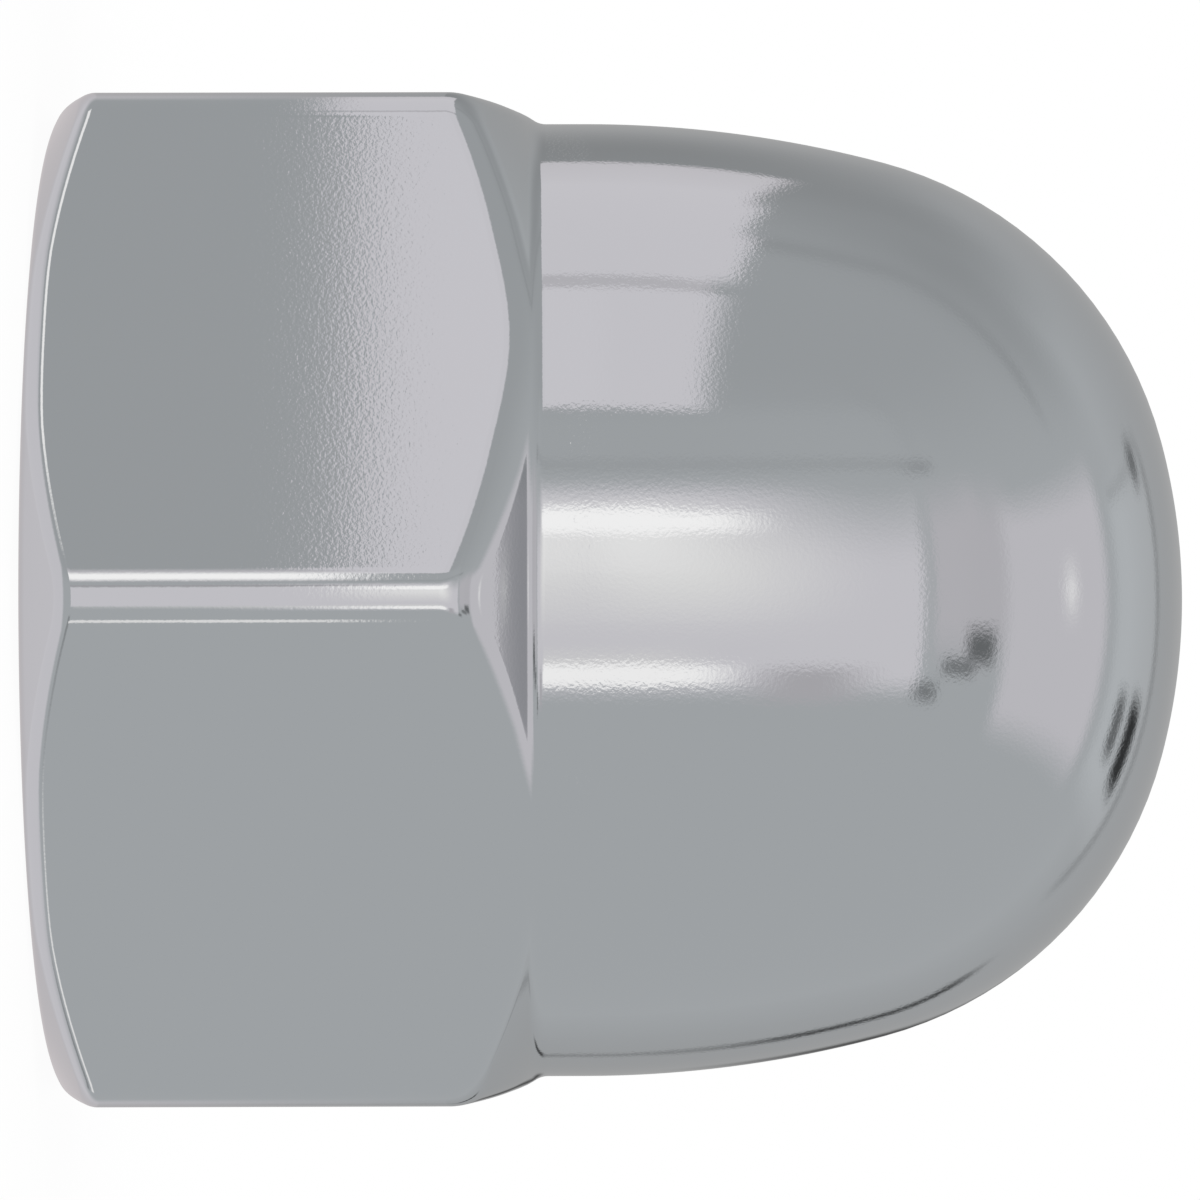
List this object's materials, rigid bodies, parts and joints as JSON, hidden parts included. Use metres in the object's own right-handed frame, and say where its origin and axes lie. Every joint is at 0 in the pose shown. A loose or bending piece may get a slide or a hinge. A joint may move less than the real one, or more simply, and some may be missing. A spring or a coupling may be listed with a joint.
{
  "type": "cap nut",
  "caption": "Domed cap nut: a chamfered hexagon under a tall closed dome, over a blind M8 threaded hole.",
  "frame": {"origin": "centre of the bearing face, on the nut's axis", "axes": "+Z along the axis towards the dome, +X out of the middle of one flat, +Y out of one corner of the hexagon"},
  "size_m": [0.013, 0.0148, 0.015],
  "materials": {
    "plated_steel": "bright plated, polished"
  },
  "bodies": {
    "root": {"cap_nut": "plated_steel"}
  },
  "joints": []
}
